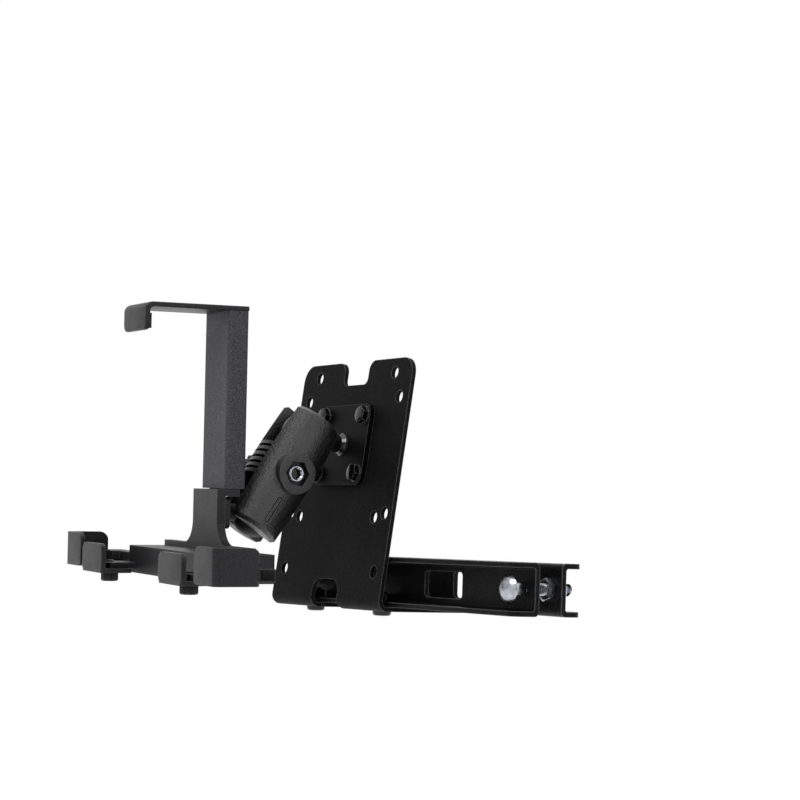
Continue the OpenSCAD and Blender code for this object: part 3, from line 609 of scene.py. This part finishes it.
arm = {
    "half": 34.0, "crown": 17.0, "end": 16.0, "edge": 1.8, "gap": 7.0, "cup": 12.55, "balls": 24.0,
    "bossR": 10.5, "bossT": 2.0, "bore": 3.2, "pocketR": 6.5, "pocket": 9.0, "recess": 4.5,
    "recessHex": 12.0, "finPitch": 3.45, "finT": 1.9, "finIn": 10.0,
    "markW": 2.6, "markLow": -29.5, "markHigh": -14.5, "markLine": 0.55, "markDeep": 1.9,
    "lineAt": 6.6, "lineLow": 13.5, "lineHigh": 26.5, "lineHalf": 0.4, "lineDeep": 3.3, "finRows": 6,
}


def armBarrel(a):
    steps = 14
    side = []
    for i in range(steps + 1):
        s = -1 + 2 * i / steps
        side.append((a["end"] + (a["crown"] - a["end"]) * (1 - s * s), s * (a["half"] - a["edge"])))
    return lathe([(0, -a["half"]), (a["end"] - a["edge"], -a["half"])] + side
                 + [(a["end"] - a["edge"], a["half"]), (0, a["half"])], 96)


def armFins(a, first):
    made = []
    reach = a["gap"] + 0.5
    for i in range(first, a["finRows"], 2):
        middle = (i - (a["finRows"] - 1) / 2) * a["finPitch"]
        low, high = middle - a["finT"] / 2, middle + a["finT"] / 2
        for w in (-1, 1):
            edges = sorted((w * a["finIn"], w * (a["crown"] + 1)))
            made.append(block((-a["gap"] + 0.5, edges[0], low), (reach, edges[1], high)))
    return combine(join(made), armBarrel(a), "INTERSECT")


# a thin outline below the boss and a line above it, cut into the near half
def armMarks(a):
    deep, w, line = a["crown"] - a["markDeep"], a["markW"] / 2, a["markLine"]
    outline = block((deep, -w, a["markLow"]), (20, w, a["markHigh"]))
    roundEdges(outline, lambda p, q: near(p.y, q.y) and near(p.z, q.z), 1.25, 5)
    inner = block((deep - 1, -w + line, a["markLow"] + line), (21, w - line, a["markHigh"] - line))
    roundEdges(inner, lambda p, q: near(p.y, q.y) and near(p.z, q.z), 0.7, 4)
    combine(outline, inner, "DIFFERENCE")
    stroke = block((a["crown"] - a["lineDeep"], a["lineAt"] - a["lineHalf"], a["lineLow"]),
                   (20, a["lineAt"] + a["lineHalf"], a["lineHigh"]))
    return outline, stroke


# one half of the arm, on the +X side of the gap
def armHalf(a, nearSide):
    half = combine(armBarrel(a), block((a["gap"], -20, -40), (25, 20, 40)), "INTERSECT")
    soften(half, 0.5, 2, 40)
    boss = place(soften(tube(a["bossR"], 0, a["crown"] + a["bossT"] - a["gap"], 72), 0.5, 3, 60),
                 moved(a["gap"]) @ turned(y=90))
    combine(half, boss, "UNION")
    for end in (-1, 1):
        bpy.ops.object.select_all(action="DESELECT")
        bpy.ops.mesh.primitive_uv_sphere_add(segments=64, ring_count=32, radius=a["cup"] * mm,
                                             location=(0, 0, end * a["balls"] * mm))
        cup = bpy.context.object
        bpy.ops.object.transform_apply(location=True, rotation=True, scale=True)
        combine(half, cup, "DIFFERENCE")
    combine(half, place(tube(a["pocketR"], 0, a["pocket"], 48), turned(y=90)), "DIFFERENCE")
    combine(half, place(tube(a["bore"], 0, 30, 32), turned(y=90)), "DIFFERENCE")
    if nearSide:
        for mark in armMarks(a):
            combine(half, mark, "DIFFERENCE")
        recess = tube(a["recessHex"] / cos(pi / 6) / 2, a["crown"] + a["bossT"] - a["recess"], 25, sides=6)
        combine(half, place(recess, turned(y=90) @ turned(z=30)), "DIFFERENCE")
    return join([half, armFins(a, 0 if nearSide else 1)])


nearHalf = armHalf(arm, True)
farHalf = place(armHalf(arm, False), turned(z=180))
settle(place(nearHalf, onArm), "near_arm_shell", "armGrain", "arm", "arm_grain", "arm_near_half")
faceLook(nearHalf, onArm.inverted(), "bossRing", lambda p: p.x > arm["crown"] + arm["bossT"] - 0.3)
settle(place(farHalf, onArm), "far_arm_shell", "armGrain", "arm", "arm_grain", "arm_far_half")
print("arm made")

clampScrew = {"radius": 3.0, "headR": 4.3, "headL": 3.6, "headX": 14.5, "endX": -26.3, "socket": 5.0,
              "deep": 2.6, "paintedShadeR": 2.95}


def makeClampScrew(c):
    top = c["headX"] + c["headL"]
    body = lathe([(0, c["endX"]), (c["radius"], c["endX"]), (c["radius"], c["headX"]),
                  (c["headR"], c["headX"]), (c["headR"], top - 0.5), (c["headR"] - 0.5, top), (0, top)], 48)
    socket = tube(c["socket"] / cos(pi / 6) / 2, top - c["deep"], top + 1, sides=6)
    combine(body, socket, "DIFFERENCE")
    mouth = lathe([(0, top - 0.7), (2.6, top - 0.7), (3.4, top + 0.1), (0, top + 0.1)], 40)
    combine(body, mouth, "DIFFERENCE")
    return place(body, onArm @ turned(y=90) @ turned(z=18))


socketScrew = settle(makeClampScrew(clampScrew), "arm_clamp_screw", "zinc", "arm", "zinc", "arm_screw")


# the socket's walls and floor, which lie in shadow; they get a darker look as painted shade
def inSocket(p):
    within = clampScrew["headX"] + 0.5 < p.x < clampScrew["headX"] + clampScrew["headL"] - 0.3
    return within and sqrt(p.y ** 2 + p.z ** 2) < clampScrew["paintedShadeR"]


# painted shade: the socket faces take the near-black oxide look, not as a finish but to stand in for their
# shadow
faceLook(socketScrew, onArm.inverted(), "oxide", inSocket)

knob = {"x": -19.3, "thick": 10.0, "rim": 10.5, "ribs": 14, "ribR": 1.4, "bore": 3.2, "hub": 6.0,
        "wall": 2.7}


# round grip: ribs round the edge, a dished face with a raised hub
def makeKnob(k):
    core = k["rim"] - k["ribR"]
    top, dish = k["thick"], k["thick"] - 1.2
    body = lathe([(0, 0), (core - 0.4, 0), (core, 0.4), (core, top - 0.6), (core - 0.6, top),
                  (core - 2, top), (core - 2.6, dish), (k["hub"] + 0.5, dish), (k["hub"], top - 0.3),
                  (0, top - 0.3)], 84)
    rib = lathe([(0, 0.2), (k["ribR"] - 0.3, 0.2), (k["ribR"], 0.5), (k["ribR"], top - 2.2),
                 (k["ribR"] - 0.7, top - 1.5), (0, top - 1.5)], 20)
    place(rib, moved(core))
    ribs = [rib] + [place(copyOf(rib), turned(z=360 * i / k["ribs"])) for i in range(1, k["ribs"])]
    grip = join([body] + ribs)
    combine(grip, tube(k["bore"], -1, top - k["wall"], 32), "DIFFERENCE")
    return place(grip, onArm @ moved(k["x"]) @ turned(y=-90))


settle(makeKnob(knob), "ribbed_knob", "knob", "knob", "knob_plastic", "tightening_knob")
print("screw and knob made")

# holder's moulded lips and walls, in the holder's own frame with the lower ball at its origin
holder = {
    "frontY": -67.0, "lipT": 2.5, "low": -33.0, "sleeveFoot": 12.0, "sleeveL": 89.0, "sleeveW": 34.0,
    "sleeveBack": -12.3, "hookH": 14.0, "rightReach": 119.0, "leftReach": 105.5,
    "wallH": 17.5, "wallDepth": 23.0, "cornerLip": 26.0, "railY": -44.0, "railT": 8.0, "railH": 6.0,
    "railLow": -29.0, "railL": 98.0, "footX": 60.0, "footW": 32.0, "footLip": 15.0, "footPlateT": 2.2,
    "footPlateL": 17.0, "screwY": -57.0, "slotL": 12.0, "slotW": 4.1,
}


# tests for roundEdges: upright edges at x, edges along the depth at x and z, edges across at y and z
def upright(x):
    return lambda p, q: near(p.x, q.x) and near(p.y, q.y) and near(p.x, x)


def alongDepth(x, z):
    return lambda p, q: near(p.x, q.x) and near(p.z, q.z) and near(p.x, x) and near(p.z, z)


def acrossWidth(y, z):
    return lambda p, q: near(p.y, q.y) and near(p.z, q.z) and near(p.y, y) and near(p.z, z)


# wall, floor and lip at one lower corner, and the rail that carries them
def makeCornerArm(h, reach, side):
    floorZ = h["low"] + 2
    inner = reach - h["cornerLip"]
    top = floorZ + h["wallH"]
    backY = h["frontY"] + h["wallDepth"]
    shell = block((inner, h["frontY"], floorZ), (reach, backY, top))
    roundEdges(shell, upright(reach), 3.5, 8)
    roundEdges(shell, alongDepth(inner, top), 5, 8)
    roundEdges(shell, alongDepth(inner, floorZ), 2.3, 6)
    hollow = block((inner - 4, h["frontY"] + h["lipT"], floorZ + h["lipT"]),
                   (reach - h["lipT"], backY + 4, top + 5))
    roundEdges(hollow, upright(reach - h["lipT"]), 2, 6)
    combine(shell, hollow, "DIFFERENCE")
    # the wall's back edge slopes away from its top corner
    nose = block((reach - 8, backY - 5, top - 5), (reach + 2, backY + 2, top + 2))
    roll = place(tube(5, -10, 4, 48), moved(reach, backY - 5, top - 5) @ turned(y=90))
    combine(nose, roll, "DIFFERENCE")
    combine(shell, nose, "DIFFERENCE")
    soften(shell, 0.7, 3, 40)
    rail = block((reach - h["railL"], h["railY"], h["railLow"]),
                 (reach - h["lipT"], h["railY"] + h["railT"], h["railLow"] + h["railH"]))
    link = block((inner + 4, backY - 4, h["railLow"]),
                 (reach - h["lipT"], h["railY"] + h["railT"], h["railLow"] + h["railH"]))
    arms = [soften(rail, 0.4), soften(link, 0.6)]
    made = join([shell] + arms)
    if side < 0:
        made.scale.x = -1
        only(made)
        bpy.ops.object.transform_apply(location=False, rotation=False, scale=True)
        bpy.ops.object.mode_set(mode="EDIT")
        bpy.ops.mesh.select_all(action="SELECT")
        bpy.ops.mesh.flip_normals()
        bpy.ops.object.mode_set(mode="OBJECT")
    return place(made, onHolder)


for side, which in ((1, "right"), (-1, "left")):
    cornerArm = makeCornerArm(holder, holder[which + "Reach"], side)
    settle(cornerArm, which + "_corner_holder", "holder", which + "_arm", "holder_plastic",
           which + "_corner_arm")


# slotted plate with its rounded lip
def makeFoot(h):
    half = h["footW"] / 2
    front, low = h["frontY"], h["low"]
    lip = block((-half, front, low), (half, front + h["lipT"], low + h["footLip"]))
    roundEdges(lip, lambda p, q: near(p.x, q.x) and near(p.z, q.z), 4, 8)
    flat = block((-half, front, low), (half, front + h["footPlateL"], low + h["footPlateT"]))
    roundEdges(flat, lambda p, q: near(p.x, q.x) and near(p.y, q.y), 2, 6)
    slotW, slotL = h["slotW"] / 2, h["slotL"] / 2
    slot = block((-slotW, h["screwY"] - slotL, low - 1), (slotW, h["screwY"] + slotL, low + 4))
    roundEdges(slot, lambda p, q: near(p.x, q.x) and near(p.y, q.y), 1.9, 6)
    combine(flat, slot, "DIFFERENCE")
    combine(lip, flat, "UNION")
    return soften(lip, 0.6, 3, 40)


rightFoot = makeFoot(holder)
leftFoot = copyOf(rightFoot)
for side, which, foot in ((1, "right", rightFoot), (-1, "left", leftFoot)):
    place(foot, onHolder @ moved(side * holder["footX"]))
    settle(foot, which + "_foot_lip", "holder", which + "_foot", "holder_plastic", which + "_foot")


# strap over the column's top, bent down at the front into a rounded lip
def makeHook(h):
    top = h["sleeveFoot"] + h["sleeveL"] + h["lipT"]
    half = h["sleeveW"] / 2
    strap = block((-half, h["frontY"], top - h["hookH"]), (half, h["sleeveBack"], top))
    roundEdges(strap, acrossWidth(h["frontY"], top), 4, 8)
    under = block((-half - 2, h["frontY"] + h["lipT"], top - h["hookH"] - 2),
                  (half + 2, h["sleeveBack"] + 2, top - h["lipT"]))
    roundEdges(under, acrossWidth(h["frontY"] + h["lipT"], top - h["lipT"]), 2, 6)
    combine(strap, under, "DIFFERENCE")
    roundEdges(strap, lambda p, q: near(p.x, q.x) and near(p.z, q.z) and p.z < top - h["hookH"] + 0.1, 4, 8)
    return place(soften(strap, 0.7, 3, 40), onHolder)


settle(makeHook(holder), "hooked_strap", "holder", "sleeve", "holder_plastic", "top_hook")
print("holder lips made")

footScrew = {"headR": 4.5, "head": 4.8, "lobes": 8, "notchR": 1.2, "radius": 2.0, "length": 6.2}


# thumb screw with a scalloped head, dished underneath
def makeFootScrew(f, side):
    rim, foot = f["headR"], -f["head"]
    head = lathe([(0, 0), (rim, 0), (rim, foot + 0.7), (rim - 0.7, foot), (rim - 1.7, foot),
                  (rim - 2.1, foot + 0.6), (0, foot + 0.6)], 64)
    for i in range(f["lobes"]):
        notch = place(tube(f["notchR"], -f["head"] - 1, 1, 24),
                      turned(z=360 * i / f["lobes"]) @ moved(f["headR"] + 0.6))
        combine(head, notch, "DIFFERENCE")
    soften(head, 0.2, 2, 40)
    shank = lathe([(0, -0.5), (f["radius"], -0.5), (f["radius"], f["length"] - 0.4),
                   (f["radius"] - 0.4, f["length"]), (0, f["length"])], 32)
    spot = onHolder @ moved(side * holder["footX"], holder["screwY"], holder["low"])
    return place(join([head, shank]), spot)


for side, name in ((-1, "left"), (1, "right")):
    settle(makeFootScrew(footScrew, side), name + "_thumb_screw", "knob", name + "_screw", "knob_plastic",
           name + "_foot_screw")
print("thumb screws made")

shelfScrew = {"xs": (-83.0, -17.0), "y": -14.1, "under": -14.8, "headR": 4.75, "head": 2.6, "radius": 2.5,
              "length": 9.8, "nut": 8.0, "nutH": 4.0, "nutZ": -10.0}


# pan-head screws up through the shelf, with nuts on the bar's lower flange
def makeShelfScrews(s):
    screws, nuts = [], []
    for x, turn in zip(s["xs"], (10, 25)):
        pan = lathe([(0, s["length"]), (s["radius"] - 0.4, s["length"]), (s["radius"], s["length"] - 0.4),
                     (s["radius"], 0), (s["headR"], 0), (s["headR"], -s["head"] + 1.2),
                     (s["headR"] - 0.5, -s["head"] + 0.3), (s["headR"] - 1.4, -s["head"]),
                     (0, -s["head"])], 40)
        combine(pan, tube(1.75, -s["head"] - 1, -s["head"] + 1.6, sides=6), "DIFFERENCE")
        screws.append(place(pan, moved(x, s["y"], s["under"])))
        nuts.append(place(hexagon(s["nut"], s["nutH"], bore=4.9, chamfer=0.45),
                          moved(x, s["y"], s["nutZ"]) @ turned(z=turn)))
    return join(screws), join(nuts)


panScrews, flangeNuts = makeShelfScrews(shelfScrew)
settle(panScrews, "pan_head_screws", "oxide", "bracket", "black_oxide", "shelf_screws")
settle(flangeNuts, "flange_nuts", "oxide", "bracket", "black_oxide", "shelf_nuts")
print("shelf screws made")

# which look each CAD piece has, and how far its edges are rounded, in millimetres
dress = {
    "front_clamp_bar": ("barPaint", 0.35),
    "rear_clamp_bar": ("barPaint", 0.35),
    "near_clamp_bolt": ("zinc", 0.25),
    "far_clamp_bolt": ("zinc", 0.25),
    "inner_nuts": ("zinc", 0.3),
    "near_clamp_nut": ("zinc", 0.3),
    "far_clamp_nut": ("zinc", 0.3),
    "mounting_plate": ("coated", 0.3),
    "shelf_screws": ("oxide", 0.3),
    "shelf_nuts": ("oxide", 0.3),
    "upper_ball_plate": ("ballPlate", 0.4),
    "upper_plate_bolts": ("oxide", 0.3),
    "upper_plate_nuts": ("oxide", 0.3),
    "upper_ball": ("rubber", 0.2),
    "arm_near_half": ("armGrain", 0.4),
    "arm_far_half": ("armGrain", 0.4),
    "arm_spring": ("zinc", 0),
    "arm_screw": ("zinc", 0.25),
    "tightening_knob": ("knob", 0.3),
    "lower_ball": ("rubber", 0.2),
    "lower_ball_plate": ("knob", 0.3),
    "lower_plate_screws": ("oxide", 0.15),
    "base_housing": ("holder", 0.6),
    "inner_mast": ("holder", 0.3),
    "sliding_sleeve": ("column", 0.8),
    "top_hook": ("holder", 0.6),
    "hook_pad": ("rubber", 0.3),
    "left_corner_arm": ("holder", 0.5),
    "right_corner_arm": ("holder", 0.5),
    "left_corner_pad": ("rubber", 0.3),
    "right_corner_pad": ("rubber", 0.3),
    "left_foot": ("holder", 0.5),
    "right_foot": ("holder", 0.5),
    "left_foot_pad": ("rubber", 0.3),
    "right_foot_pad": ("rubber", 0.3),
    "left_foot_screw": ("knob", 0.3),
    "right_foot_screw": ("knob", 0.3),
}


def dressNode(name, look, edge):
    obj = nodes[name]
    if not obj.material_slots:
        obj.data.materials.append(finish[look])
    for slot in obj.material_slots:
        slot.material = finish[look]
    if edge:
        soft = obj.modifiers.new("soft_edges", "BEVEL")
        soft.width = edge * mm
        soft.segments = 2
        soft.limit_method = "ANGLE"
        soft.angle_limit = radians(35)


for nodeName, (look, edge) in dress.items():
    dressNode(nodeName, look, edge)
print("CAD pieces dressed")
